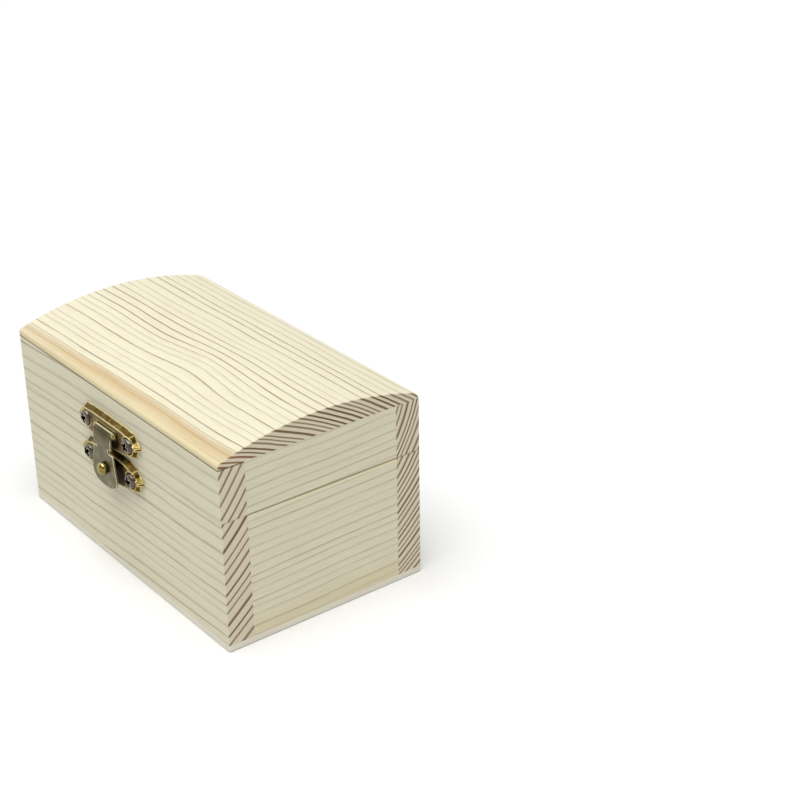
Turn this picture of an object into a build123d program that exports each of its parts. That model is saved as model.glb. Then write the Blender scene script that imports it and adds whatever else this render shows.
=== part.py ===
from build123d import *
from math import cos, radians, sin, tan
import os

# A small pine chest with an arched lid, two hinges on its back and a stamped clasp on its front.
# Sizes are in millimetres and angles in degrees.
# X runs along the front from left to right, Y from the front to the back, and Z up.
# The origin is under the middle of the box, on the surface that it stands on.

# The glued-up block that is sawn into body and lid
box_length = 90.0
box_depth = 54.0
body_height = 32.7
lid_wall_height = 13.2
lid_edge_height = 1.2
lid_arch_rise = 4.5
board_thickness = 6.7
bottom_thickness = 1.6

# Sanding of the block
upright_edge_radius = 0.4
front_eave_radius = 0.9
back_eave_radius = 2.6
sawn_edge_chamfer = 0.15

# Holes and fits
cut_overrun = 1.0
pin_clearance = 0.05
pin_grip_clearance = 0.01
screw_clearance = 0.02
knuckle_gap = 0.12

# Clasp plates: hollow pans pressed from thin sheet, with flared walls and braced ends
clasp_offset = -0.6
plate_sheet = 0.5
plate_rise = 1.6
plate_flare = 0.75
plate_corner_reach = 11.1
plate_tip_reach = 13.6
plate_tip_width = 0.8
plate_tip_lift = 0.25
plate_scallop_depth = 0.75
plate_shoulder_length = 3.4
plate_shoulder_dip = 0.15

# Upper plate, on the lid
upper_plate_foot = 0.35
upper_plate_belly = 1.2
upper_plate_end_height = 6.2
upper_plate_crown = 0.25
upper_plate_shoulder = 0.2

# Lower plate, on the body
lower_plate_drop = 0.25
lower_plate_belly = 1.2
lower_plate_end_height = 6.05
lower_plate_crown = 1.0
lower_plate_shoulder = 0.85
catch_bead_radius = 1.6
catch_bead_top_radius = 0.9
catch_bead_gap = 0.1

# Screw seats of the clasp plates
plate_screw_reach = 9.5
dish_radius = 2.15
dish_depth = 0.4

# Pin of the clasp, and the ears of the upper plate that hold it
pivot_height = 4.95
pivot_stand = 1.95
clasp_pin_radius = 0.3
clasp_pin_end = 0.2
ear_radius = 0.7
ear_width = 0.45
ear_end_chamfer = 0.15
window_margin = 0.25

# Tongue of the clasp
tongue_sheet = 0.4
tongue_face_height = 3.05
tongue_neck_slope = 12.0
tongue_bend_radius = 0.7
tongue_neck_width = 7.7
tongue_waist_width = 5.2
tongue_notch_start = 3.5
tongue_notch_height = 1.15
tongue_notch_radius = 0.2
tongue_shoulder_width = 9.1
tongue_body_width = 11.5
tongue_length = 14.1
tongue_belly = 1.5
tongue_corner_radius = 2.6
curl_end_angle = -75.0
curl_gap = 0.15

# Knob, riveted through the tongue
knob_drop = 9.3
knob_radius = 1.55
knob_neck_radius = 1.2
knob_neck_height = 0.4
knob_band_width = 0.4
knob_dome_height = 0.6
knob_height = 1.6
rivet_radius = 0.55

# Raised-head screws of the clasp
clasp_screw_head_radius = 1.9
clasp_screw_crown_radius = 1.3
clasp_screw_head_rim = 0.85
clasp_screw_head_height = 1.25
clasp_screw_radius = 0.8
clasp_screw_length = 5.6

# Butt hinges, planted on the back
hinge_inset = 19.0
hinge_length = 16.0
middle_knuckle_length = 5.4
leaf_height = 8.0
leaf_thickness = 0.7
leaf_corner_radius = 1.2
barrel_radius = 1.3
barrel_stand = 0.15
hinge_pin_radius = 0.6
hinge_pin_end = 0.25

# Flat-headed screws of the hinges, each head as deep as its leaf is thick
leaf_screw_spread = 9.6
leaf_screw_drop = 5.0
leaf_screw_head_radius = 1.3
leaf_screw_radius = 0.6
leaf_screw_length = 5.0

# Places that follow from the sizes above
glue_line_height = body_height + lid_wall_height
spring_height = glue_line_height + lid_edge_height
crown_height = spring_height + lid_arch_rise
front_face = -box_depth / 2
back_face = box_depth / 2
right_face = box_length / 2
hinge_axis_y = back_face + barrel_stand + barrel_radius
tongue_bore = clasp_pin_radius + pin_clearance
tongue_knuckle_radius = tongue_bore + tongue_sheet
ear_start = tongue_neck_width / 2 + knuckle_gap

# The clasp is drawn flat: its x runs right along the front, its y up from the saw cut, its z out
clasp_origin = (clasp_offset, front_face, body_height)
clasp_place = Location(Plane(origin=clasp_origin, x_dir=(1, 0, 0), z_dir=(0, -1, 0)))


def block(x_range, y_range, z_range):
    """A block between two values on each axis."""
    ranges = (x_range, y_range, z_range)
    middle = [(low + high) / 2 for low, high in ranges]
    size = [high - low for low, high in ranges]
    return Pos(*middle) * Box(*size)


# The block, and the boards in it


def arched_block():
    """The whole closed chest in one piece: an arched end profile, cut to a plan with rounded corners."""
    half = box_depth / 2
    end_outline = [
        Line((-half, 0), (half, 0)),
        Line((half, 0), (half, spring_height)),
        TangentArc((0, crown_height), (half, spring_height), tangent=(1, 0)),
        TangentArc((0, crown_height), (-half, spring_height), tangent=(-1, 0)),
        Line((-half, spring_height), (-half, 0)),
    ]
    end_profile = make_face(end_outline)
    front_eave, back_eave = end_profile.vertices().sort_by(Axis.Y)[2:4].sort_by(Axis.X)
    end_profile = fillet(front_eave, front_eave_radius)
    back_eave = end_profile.vertices().sort_by_distance((half, spring_height))[0]
    end_profile = fillet(back_eave, back_eave_radius)
    arched_length = extrude(Plane.YZ * end_profile, amount=right_face, both=True)
    plan = RectangleRounded(box_length, box_depth, upright_edge_radius)
    return arched_length & extrude(plan, amount=crown_height)


def sawn_layer(low, high):
    """The part of the block between two heights, with its outer edges eased at the saw cut."""
    reach = box_length + box_depth
    layer = arched_block() & block((-reach, reach), (-reach, reach), (low, high))
    sawn_face = layer.faces().filter_by(Axis.Z).sort_by(lambda face: abs(face.center().Z - body_height))[0]
    return chamfer(sawn_face.edges(), sawn_edge_chamfer)


def wall_regions(low, high):
    """Where four walls lie: the front and back boards run through, the end boards fit between them."""
    outer_x = right_face + cut_overrun
    outer_y = back_face + cut_overrun
    inner_x = right_face - board_thickness
    inner_y = back_face - board_thickness
    return {
        "front_board": block((-outer_x, outer_x), (-outer_y, -inner_y), (low, high)),
        "back_board": block((-outer_x, outer_x), (inner_y, outer_y), (low, high)),
        "left_end_board": block((-outer_x, -inner_x), (-inner_y, inner_y), (low, high)),
        "right_end_board": block((inner_x, outer_x), (-inner_y, inner_y), (low, high)),
    }


def body_boards():
    """The four walls of the body and the thin panel glued under them."""
    layer = sawn_layer(0, body_height)
    regions = wall_regions(bottom_thickness, body_height)
    boards = {f"body_{name}": layer & region for name, region in regions.items()}
    reach = box_length + box_depth
    boards["bottom_panel"] = layer & block((-reach, reach), (-reach, reach), (0, bottom_thickness))
    return boards


def lid_boards():
    """The four low walls of the lid and the arched board glued over them."""
    top = crown_height + cut_overrun
    layer = sawn_layer(body_height, top)
    regions = wall_regions(body_height, glue_line_height)
    boards = {f"lid_{name}": layer & region for name, region in regions.items()}
    reach = box_length + box_depth
    boards["lid_top_board"] = layer & block((-reach, reach), (-reach, reach), (glue_line_height, top))
    return boards


# Screws, standing on the origin with the head above it


def pilot_hole(radius, length):
    """The hole that a screw makes for its shank."""
    return Pos(0, 0, -length / 2) * Cylinder(radius + screw_clearance, length + 2 * screw_clearance)


def clasp_screw():
    """Raised-head screw of the clasp, its head seated on the origin."""
    shank = Pos(0, 0, -clasp_screw_length / 2) * Cylinder(clasp_screw_radius, clasp_screw_length)
    head = Pos(0, 0, clasp_screw_head_height / 2) * Cylinder(clasp_screw_head_radius, clasp_screw_head_height)
    top_rim = head.edges().filter_by(GeomType.CIRCLE).sort_by(Axis.Z)[-1]
    slope = clasp_screw_head_radius - clasp_screw_crown_radius
    return shank + chamfer(top_rim, slope, clasp_screw_head_height - clasp_screw_head_rim)


def leaf_screw():
    """Flat-headed screw of a hinge, the top of its head level with the origin."""
    head = Pos(0, 0, -leaf_thickness / 2) * Cone(leaf_screw_radius, leaf_screw_head_radius, leaf_thickness)
    shank = Pos(0, 0, -leaf_screw_length / 2) * Cylinder(leaf_screw_radius, leaf_screw_length)
    return shank + head


# Clasp, in its own flat frame


def braced_outline(low_corner, high_corner, crown, shoulder, belly, inset, level):
    """The outline of a clasp plate at one level: a curly brace at each end, a bellied lower edge."""
    corner_x = plate_corner_reach - inset
    shoulder_x = corner_x - plate_shoulder_length
    tip_x = plate_tip_reach - inset
    top = high_corner - inset
    bottom = low_corner + inset
    tip_y = (low_corner + high_corner) / 2 + plate_tip_lift
    top_edge = ThreePointArc((-shoulder_x, top + shoulder), (0, top + crown), (shoulder_x, top + shoulder))
    dip = (corner_x - plate_shoulder_length / 2, top + shoulder / 2 - plate_shoulder_dip)
    right_end = [
        ThreePointArc((shoulder_x, top + shoulder), dip, (corner_x, top)),
        SagittaArc((corner_x, top), (tip_x, tip_y + plate_tip_width / 2), -plate_scallop_depth),
        Line((tip_x, tip_y + plate_tip_width / 2), (tip_x, tip_y - plate_tip_width / 2)),
        SagittaArc((tip_x, tip_y - plate_tip_width / 2), (corner_x, bottom), -plate_scallop_depth),
    ]
    left_end = [mirror(edge, Plane.YZ) for edge in right_end]
    bottom_edge = ThreePointArc((-corner_x, bottom), (0, bottom - belly), (corner_x, bottom))
    return Pos(0, 0, level) * make_face([top_edge, *right_end, bottom_edge, *left_end])


def flared_block(shape, inset, height):
    """A block with a clasp plate's outline that draws in by the plate's flare towards its front."""
    foot = braced_outline(*shape, inset, 0)
    front = braced_outline(*shape, inset + plate_flare, height)
    return loft([foot, front], ruled=True)


def clasp_pan(*shape):
    """A clasp plate as pressed: hollow, with flared walls and two screw seats."""
    pan = flared_block(shape, 0, plate_rise)
    hollow = flared_block(shape, plate_sheet, plate_rise - plate_sheet)
    for place in plate_screw_places(*shape):
        floor = plate_rise - dish_depth
        cup = Pos(0, 0, floor - plate_sheet / 2) * Cylinder(dish_radius + plate_sheet, plate_sheet)
        hollow -= Location(place) * cup
        dish = Pos(0, 0, plate_rise - dish_depth / 2) * Cylinder(dish_radius, dish_depth)
        hole = Cylinder(clasp_screw_radius + screw_clearance, 2 * plate_rise)
        pan -= Location(place) * (dish + hole)
    return pan - hollow


def plate_screw_places(low_corner, high_corner, *edge_shape):
    """Where the two screws of a plate stand."""
    height = (low_corner + high_corner) / 2
    return [(-plate_screw_reach, height, 0), (plate_screw_reach, height, 0)]


def upper_plate_shape():
    """Heights of the upper plate's outline, from the saw cut up."""
    low_corner = upper_plate_foot + upper_plate_belly
    high_corner = low_corner + upper_plate_end_height
    return low_corner, high_corner, upper_plate_crown, upper_plate_shoulder, upper_plate_belly


def lower_plate_shape():
    """Heights of the lower plate's outline, from the saw cut down."""
    high_corner = -lower_plate_drop - lower_plate_crown
    low_corner = high_corner - lower_plate_end_height
    return low_corner, high_corner, lower_plate_crown, lower_plate_shoulder, lower_plate_belly


def along_pivot(radius, start, end):
    """A rod about the tongue's pivot between two values of x."""
    rod = Rot(0, 90, 0) * Cylinder(radius, end - start)
    return Pos((start + end) / 2, pivot_height, pivot_stand) * rod


def clasp_upper_plate():
    """The plate on the lid, with a window for the tongue's knuckle and an ear at each end of it."""
    half_window = tongue_knuckle_radius + window_margin
    window = block(
        (-ear_start, ear_start),
        (pivot_height - half_window, pivot_height + half_window),
        (-cut_overrun, plate_rise + cut_overrun),
    )
    plate = clasp_pan(*upper_plate_shape()) - window
    ear = along_pivot(ear_radius, ear_start, ear_start + ear_width)
    outer_rim = ear.edges().filter_by(GeomType.CIRCLE).sort_by(Axis.X)[-1]
    ear = chamfer(outer_rim, ear_end_chamfer)
    plate += ear + mirror(ear, Plane.YZ)
    reach = ear_start + ear_width + cut_overrun
    return plate - along_pivot(clasp_pin_radius + pin_grip_clearance, -reach, reach)


def clasp_lower_plate():
    """The plate on the body, with a bead behind the knob for the tongue to rest on."""
    bead_height = tongue_face_height - tongue_sheet - catch_bead_gap - plate_rise
    bead = Cone(catch_bead_radius, catch_bead_top_radius, bead_height)
    bead_place = Pos(0, pivot_height - knob_drop, plate_rise + bead_height / 2)
    return clasp_pan(*lower_plate_shape()) + bead_place * bead


def clasp_pin():
    """The pin that the tongue swings on, whose ends stand out of the ears."""
    reach = ear_start + ear_width + clasp_pin_end
    return along_pivot(clasp_pin_radius, -reach, reach)


def tongue_section():
    """The tongue from the side, x out and y up from its pivot: a curled knuckle, a sloped neck, a flat."""
    middle_radius = tongue_bore + tongue_sheet / 2
    slope = radians(tongue_neck_slope)
    flat_x = tongue_face_height - tongue_sheet / 2 - pivot_stand
    neck_start = (middle_radius * cos(slope), middle_radius * sin(slope))
    neck_end = (flat_x, neck_start[1] - (flat_x - neck_start[0]) / tan(slope))
    flat_end = (flat_x, -tongue_length - cut_overrun)
    path = FilletPolyline(neck_start, neck_end, flat_end, radius=tongue_bend_radius)
    knuckle = Circle(tongue_knuckle_radius) - Circle(tongue_bore)
    curl_end = Rot(0, 0, curl_end_angle) * Pos(middle_radius, 0) * Rectangle(2 * tongue_sheet, curl_gap)
    return knuckle - curl_end + trace(path, tongue_sheet)


def tongue_outline():
    """The tongue from the front, y up from its pivot: a notched neck over a duckbill body."""
    neck = tongue_neck_width / 2
    waist = tongue_waist_width / 2
    shoulder = tongue_shoulder_width / 2
    body = tongue_body_width / 2
    notch_top = -tongue_notch_start
    notch_bottom = notch_top - tongue_notch_height
    corner_y = tongue_belly - tongue_length
    right_side = Polyline(
        (neck, tongue_knuckle_radius),
        (neck, notch_top),
        (waist, notch_top),
        (waist, notch_bottom),
        (shoulder, notch_bottom),
        (body, corner_y),
    )
    top = Line((-neck, tongue_knuckle_radius), (neck, tongue_knuckle_radius))
    belly = ThreePointArc((-body, corner_y), (0, -tongue_length), (body, corner_y))
    outline = make_face([top, *right_side.edges(), *mirror(right_side, Plane.YZ).edges(), belly])
    notch_corners = [corner for corner in outline.vertices() if abs(corner.X) < waist + tongue_notch_radius]
    outline = fillet(notch_corners, tongue_notch_radius)
    jaw_corners = outline.vertices().sort_by(Axis.Y)[:2]
    return fillet(jaw_corners, tongue_corner_radius)


def clasp_tongue():
    """The swinging tongue: its bent sheet, cut to its outline, with the hole for the knob's rivet."""
    side = Plane(origin=(0, 0, 0), x_dir=(0, 0, 1), z_dir=(-1, 0, 0))
    bent_sheet = extrude(side * tongue_section(), amount=tongue_body_width, both=True)
    blank = extrude(tongue_outline(), amount=2 * tongue_face_height, both=True)
    tongue = Pos(0, pivot_height, pivot_stand) * (bent_sheet & blank)
    return tongue - rivet(screw_clearance)


def rivet(clearance):
    """The shank that holds the knob in the tongue, level with the tongue's back."""
    middle = tongue_face_height - tongue_sheet / 2
    return Pos(0, pivot_height - knob_drop, middle) * Cylinder(rivet_radius + clearance, tongue_sheet)


def clasp_knob():
    """The knob to lift the tongue by: a domed button on a short neck, with its rivet behind."""
    neck = Line((knob_neck_radius, 0), (knob_neck_radius, knob_neck_height))
    band_top = knob_height - knob_dome_height
    underside = Line(neck @ 1, (knob_radius, band_top - knob_band_width))
    band = Line(underside @ 1, (knob_radius, band_top))
    dome = TangentArc((0, knob_height), band @ 1, tangent=(1, 0))
    axis = Line((0, knob_height), (0, 0))
    outline = make_face([Line((0, 0), neck @ 0), neck, underside, band, dome, axis])
    button = revolve(Plane.XZ * outline, Axis.Z)
    return Pos(0, pivot_height - knob_drop, tongue_face_height) * button + rivet(0)


# Hinges


def along_hinge(radius, start, end):
    """A rod about the hinge axis between two values of X."""
    rod = Rot(0, 90, 0) * Cylinder(radius, end - start)
    return Pos((start + end) / 2, hinge_axis_y, body_height) * rod


def leaf_screw_places(center_x, side):
    """Where the two screws of a leaf stand: side is 1 above the saw cut and -1 below it."""
    xs = (center_x - leaf_screw_spread / 2, center_x + leaf_screw_spread / 2)
    height = body_height + side * leaf_screw_drop
    outer_face = back_face + leaf_thickness
    planes = [Plane(origin=(x, outer_face, height), x_dir=(-1, 0, 0), z_dir=(0, 1, 0)) for x in xs]
    return [Location(plane) for plane in planes]


def hinge_leaf(center_x, side):
    """One leaf of a hinge. The body's leaf has the two outer knuckles, the lid's leaf the middle one."""
    end = hinge_length / 2
    split = middle_knuckle_length / 2
    outer = [(-end, -split), (split, end)]
    middle = [(-split, split)]
    own, other = (middle, outer) if side > 0 else (outer, middle)
    heights = sorted((body_height, body_height + side * leaf_height))
    plate = block((center_x - end, center_x + end), (back_face, back_face + leaf_thickness), heights)
    far_corners = plate.edges().filter_by(Axis.Y).sort_by(lambda edge: side * edge.center().Z)[-2:]
    leaf = fillet(far_corners, leaf_corner_radius)
    for start, stop in own:
        start_gap = knuckle_gap / 2 if start > -end else 0
        stop_gap = knuckle_gap / 2 if stop < end else 0
        leaf += along_hinge(barrel_radius, center_x + start + start_gap, center_x + stop - stop_gap)
    for start, stop in other:
        start_gap = knuckle_gap / 2 if start > -end else cut_overrun
        stop_gap = knuckle_gap / 2 if stop < end else cut_overrun
        clear_radius = barrel_radius + knuckle_gap + barrel_stand
        leaf -= along_hinge(clear_radius, center_x + start - start_gap, center_x + stop + stop_gap)
    leaf -= along_hinge(hinge_pin_radius + pin_clearance, center_x - hinge_length, center_x + hinge_length)
    for place in leaf_screw_places(center_x, side):
        leaf -= place * Pos(0, 0, -leaf_thickness / 2) * Cone(
            leaf_screw_radius + screw_clearance,
            leaf_screw_head_radius + screw_clearance,
            leaf_thickness,
        )
    return leaf


def hinge_pin(center_x):
    """The pin of a hinge, whose ends stand a little out of the barrel."""
    reach = hinge_length / 2 + hinge_pin_end
    return along_hinge(hinge_pin_radius, center_x - reach, center_x + reach)


# The whole chest


def all_parts():
    """Every piece by its node name."""
    parts = {**body_boards(), **lid_boards()}

    upper_screws = [
        clasp_place * Location(x_y_z) * Pos(0, 0, plate_rise - dish_depth)
        for x_y_z in plate_screw_places(*upper_plate_shape())
    ]
    lower_screws = [
        clasp_place * Location(x_y_z) * Pos(0, 0, plate_rise - dish_depth)
        for x_y_z in plate_screw_places(*lower_plate_shape())
    ]
    parts["clasp_upper_plate"] = clasp_place * clasp_upper_plate()
    parts["clasp_lower_plate"] = clasp_place * clasp_lower_plate()
    parts["clasp_tongue_pin"] = clasp_place * clasp_pin()
    parts["clasp_tongue"] = clasp_place * clasp_tongue()
    parts["clasp_knob"] = clasp_place * clasp_knob()
    parts["clasp_upper_plate_screws"] = Compound([place * clasp_screw() for place in upper_screws])
    parts["clasp_lower_plate_screws"] = Compound([place * clasp_screw() for place in lower_screws])

    lid_leaf_screws = []
    body_leaf_screws = []
    hinge_x = right_face - hinge_inset
    for name, center_x in (("left", -hinge_x), ("right", hinge_x)):
        parts[f"{name}_hinge_body_leaf"] = hinge_leaf(center_x, -1)
        parts[f"{name}_hinge_lid_leaf"] = hinge_leaf(center_x, 1)
        parts[f"{name}_hinge_pin"] = hinge_pin(center_x)
        body_leaf_screws += leaf_screw_places(center_x, -1)
        lid_leaf_screws += leaf_screw_places(center_x, 1)
    parts["hinge_body_leaf_screws"] = Compound([place * leaf_screw() for place in body_leaf_screws])
    parts["hinge_lid_leaf_screws"] = Compound([place * leaf_screw() for place in lid_leaf_screws])

    for board, places, radius, length in (
        ("lid_front_board", upper_screws, clasp_screw_radius, clasp_screw_length),
        ("body_front_board", lower_screws, clasp_screw_radius, clasp_screw_length),
        ("lid_back_board", lid_leaf_screws, leaf_screw_radius, leaf_screw_length),
        ("body_back_board", body_leaf_screws, leaf_screw_radius, leaf_screw_length),
    ):
        for place in places:
            parts[board] -= place * pilot_hole(radius, length)
    return parts


os.makedirs("parts", exist_ok=True)
for node_name, part in all_parts().items():
    export_step(part, f"parts/{node_name}.step")
    size = part.bounding_box().size
    print(f"{node_name}: {size.X:.2f} x {size.Y:.2f} x {size.Z:.2f} mm, {part.volume:.1f} mm3")
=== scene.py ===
from math import asin, pi, radians, sqrt
from types import SimpleNamespace

import bmesh
import bpy
from mathutils import Matrix, Vector


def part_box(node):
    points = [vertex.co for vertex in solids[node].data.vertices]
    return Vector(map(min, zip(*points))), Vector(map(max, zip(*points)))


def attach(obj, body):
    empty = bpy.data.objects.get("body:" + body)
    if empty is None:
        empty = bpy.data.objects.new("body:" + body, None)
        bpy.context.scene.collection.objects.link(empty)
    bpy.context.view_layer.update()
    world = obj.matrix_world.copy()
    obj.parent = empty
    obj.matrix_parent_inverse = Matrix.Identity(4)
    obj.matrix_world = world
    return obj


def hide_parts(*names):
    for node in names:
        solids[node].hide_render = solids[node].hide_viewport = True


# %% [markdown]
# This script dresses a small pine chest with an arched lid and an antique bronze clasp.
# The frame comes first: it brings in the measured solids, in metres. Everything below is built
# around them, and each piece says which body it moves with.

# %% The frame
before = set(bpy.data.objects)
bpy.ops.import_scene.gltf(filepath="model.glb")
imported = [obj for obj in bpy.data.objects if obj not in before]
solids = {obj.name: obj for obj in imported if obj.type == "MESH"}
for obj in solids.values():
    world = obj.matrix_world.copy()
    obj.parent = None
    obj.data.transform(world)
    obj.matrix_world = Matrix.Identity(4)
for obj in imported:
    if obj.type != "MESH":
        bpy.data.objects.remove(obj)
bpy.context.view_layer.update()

# %% [markdown]
# The camera stands in front of the right-hand corner and looks down a little, with a long lens, so
# that the front, the right end and the lid all show. Its place was worked out from the corners,
# the saw cut and the arch of the chest. A long lens keeps the upright edges nearly parallel, where
# a short one held close would make them lean.

# %% The camera
camera_data = bpy.data.cameras.new("camera")
camera_data.sensor_width = 36
camera_data.lens = 79.49
camera_data.clip_start = 0.01
camera_data.clip_end = 50
camera = bpy.data.objects.new("camera", camera_data)
camera.location = (0.325894, -0.194168, 0.224139)
camera.rotation_euler = (1.107163, 0.013469, 0.909286)
bpy.context.scene.collection.objects.link(camera)
bpy.context.scene.camera = camera
print("camera stands", round(camera.location.length, 3), "m from the chest's middle")

# %% [markdown]
# Every finish below is arithmetic on coordinates: a growth ring is a distance from the tree's
# middle, a worn rim is a change of direction. Wiring that by hand takes dozens of nodes, so a small
# class wraps a socket and lets us write the arithmetic as Python. `ramp` and `hill` turn a number
# into a share from 0 to 1, which is what a blend of two colours needs.


# %% A socket that does arithmetic
def abilities(kind):
    return ", ".join(name for name in vars(kind) if not name.startswith("__"))


def math_node(operation):
    def forward(self, other=None):
        return self.wiring.math(operation, self, other)

    return forward


def reflected(operation):
    def backward(self, other):
        return self.wiring.math(operation, other, self)

    return backward


class Signal:
    """A number that varies over a surface."""

    def __init__(self, wiring, socket):
        self.wiring = wiring
        self.socket = socket

    __add__ = math_node("ADD")
    __radd__ = reflected("ADD")
    __sub__ = math_node("SUBTRACT")
    __rsub__ = reflected("SUBTRACT")
    __mul__ = math_node("MULTIPLY")
    __rmul__ = reflected("MULTIPLY")
    __truediv__ = math_node("DIVIDE")
    whole = math_node("FLOOR")
    size = math_node("ABSOLUTE")
    root = math_node("SQRT")
    or_more = math_node("MAXIMUM")

    def ramp(self, start, end):
        """0 at start, 1 at end, and a smooth change between them. start may be the larger."""
        low, high = (start, end) if start < end else (end, start)
        inputs = {"Value": self, "From Min": low, "From Max": high, "To Min": 0.0, "To Max": 1.0}
        settings = {"interpolation_type": "SMOOTHSTEP"}
        rising = self.wiring.node("ShaderNodeMapRange", settings, inputs)
        return rising if start < end else 1 - rising

    def hill(self, start, top, end):
        """0 at start and at end, 1 at top."""
        return self.ramp(start, top) * self.ramp(end, top)


print("a signal knows", abilities(Signal))

# %% [markdown]
# The other kinds of node come from one method, `node`, which takes a node's type, its settings and
# the values or links of its sockets. The few that the finishes share get short names of their own.
# Colours and vectors go through Mix and Vector Math nodes, because a Math node would turn a colour
# grey.


# %% Node trees
def opaque(colour):
    return colour if isinstance(colour, Signal) else (*colour, 1.0)


class Wiring:
    """A node tree that starts empty, for a finish or for the room's light."""

    def __init__(self, tree):
        self.nodes = tree.nodes
        self.links = tree.links
        self.nodes.clear()

    def feed(self, socket, value):
        if isinstance(value, Signal):
            self.links.new(value.socket, socket)
        elif value is not None:
            socket.default_value = value

    def node(self, kind, settings, inputs, output=0):
        made = self.nodes.new(kind)
        for key, value in settings.items():
            setattr(made, key, value)
        for key, value in inputs.items():
            self.feed(made.inputs[key], value)
        return Signal(self, made.outputs[output])

    def end_in(self, kind, signal):
        self.feed(self.nodes.new(kind).inputs[0], signal)

    def math(self, operation, first, second):
        return self.node("ShaderNodeMath", {"operation": operation}, {0: first, 1: second})

    def vector_math(self, operation, first, second, output=0):
        inputs = {0: first, 1: second}
        return self.node("ShaderNodeVectorMath", {"operation": operation}, inputs, output)

    def split(self, vector):
        return [self.node("ShaderNodeSeparateXYZ", {}, {0: vector}, axis) for axis in "XYZ"]

    def stretched(self, vector, scale):
        """The vector with each axis scaled by its own number."""
        return self.vector_math("MULTIPLY", vector, scale)

    def moved(self, vector, step):
        return self.vector_math("ADD", vector, (step, step, step))

    def noise(self, vector, detail=2.0, roughness=0.5):
        """Smooth noise about 0, mostly within a half each way."""
        inputs = {"Vector": vector, "Scale": 1.0, "Detail": detail, "Roughness": roughness}
        return self.node("ShaderNodeTexNoise", {}, inputs) - 0.5

    def blend(self, share, first, second):
        """From the first colour to the second as share goes from 0 to 1."""
        settings = {"data_type": "RGBA", "clamp_factor": True}
        inputs = {"Factor": share, 6: opaque(first), 7: opaque(second)}
        return self.node("ShaderNodeMix", settings, inputs, 2)


print("a node tree knows", abilities(Wiring))

# %% [markdown]
# A finish is a material under construction: one Principled surface, whose sockets take plain
# numbers or signals. Places are read from Object coordinates and turned into millimetres, so a
# pattern keeps its real size and stays on its piece when the lid opens.

# %% A finish under construction
MM = 0.001


class Finish(Wiring):
    """The node tree of one material, with a single Principled surface."""

    def __init__(self, name):
        self.material = bpy.data.materials.new(name)
        self.material.use_nodes = True
        super().__init__(self.material.node_tree)
        self.shader = self.nodes.new("ShaderNodeBsdfPrincipled")
        self.end_in("ShaderNodeOutputMaterial", Signal(self, self.shader.outputs[0]))

    def attribute(self, name):
        """A number that each face of the piece carries."""
        return self.node("ShaderNodeAttribute", {"attribute_name": name}, {}, "Fac")

    def place(self):
        """Where a point of the piece lies, in millimetres."""
        spot = self.node("ShaderNodeTexCoord", {}, {}, "Object")
        return self.stretched(spot, (1 / MM, 1 / MM, 1 / MM))

    def bump(self, height, depth):
        """A normal from a height that runs from 0 to 1 over a depth in metres."""
        inputs = {"Height": height, "Strength": 1.0, "Distance": depth}
        return self.node("ShaderNodeBump", {}, inputs)

    def surface(self, **sockets):
        for key, value in sockets.items():
            name = key.replace("_", " ").title().replace("Ior", "IOR")
            self.feed(self.shader.inputs[name], value)
        print("finish", self.material.name, "has", len(self.nodes), "nodes")
        return self.material


print("a finish also knows", abilities(Finish))

# %% [markdown]
# The block's main heights and faces are read from the measured solids, never typed again, so the
# dressed boards always fit them. `HAIR` is the distance below which two places count as one.

# %% Sizes of the block
SAW_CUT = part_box("body_front_board")[1].z
GLUE_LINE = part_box("lid_top_board")[0].z
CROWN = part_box("lid_top_board")[1].z
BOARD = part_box("body_front_board")[1].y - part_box("body_front_board")[0].y
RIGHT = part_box("bottom_panel")[1].x
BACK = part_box("bottom_panel")[1].y
PANEL_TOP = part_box("bottom_panel")[1].z
HAIR = 0.01 * MM
for name, height in (("saw cut", SAW_CUT), ("glue line", GLUE_LINE), ("crown", CROWN)):
    print(name, "at", round(height / MM, 2), "mm")

# %% [markdown]
# Bare pine has few colours: pale early wood and darker late wood, which look different along the
# grain and across it, because cut fibres soak up light. Colours are easiest to judge as they are
# seen on a screen, from 0 to 255, but a shader wants linear values, so `paint` turns one into the
# other.


# %% Colours of the wood
def paint(red, green, blue):
    return tuple(((part / 255 + 0.055) / 1.055) ** 2.4 for part in (red, green, blue))


EARLY_LONG = paint(246, 240, 212)
LATE_LONG = paint(130, 100, 52)
EARLY_END = paint(242, 230, 202)
LATE_END = paint(98, 68, 12)
SAPWOOD = paint(243, 229, 186)
TAN = paint(210, 176, 114)
RED_BROWN = paint(150, 98, 58)
GLUE = paint(108, 86, 44)
SAWN = paint(142, 102, 44)
FRESH = paint(255, 249, 204)
YELLOWED = paint(232, 212, 140)
# Painted light for the bottom panel's upright edges.
LIT_EDGE = paint(255, 250, 234)
# Painted shade for the faces that look into the chest.
INSIDE_SHADE = paint(205, 190, 152)
print("pale wood is", [round(part, 3) for part in EARLY_LONG], "as linear values")

# %% [markdown]
# A board is a slice of a trunk, so its rings are a solid pattern: cylinders about the tree's
# middle, which may lie far outside the board. If the pattern is worked out in space, the lines on
# the long faces run straight into the stripes on the end grain, as on the real chest, and a sawn
# lid matches the body under it. We could instead paint stripes face by face, but they would never
# meet at the corners.
#
# Real rings aren't perfect circles. A slow noise makes them wander, a second one makes some years
# wide and some narrow, and on the lid they swell aside where a branch once grew nearby.

# %% Rings of a tree
ORDINARY_BOARD = {
    "along": "X",  # which way the fibres run
    "lean": 0.0,  # how far the tree's middle rises in a millimetre of length
    "waver": 0.35,  # how much the rings wander
    "swell": 0.0,  # by how many rings they swell aside
    "lines": 1.0,  # how strong the rings show along the grain
    "width": 0.2,  # how much of a ring is a line there
    "late": 0.62,  # where in a ring its late wood starts, on end grain
    "marks": (),  # what making the chest left on the board
}


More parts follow.
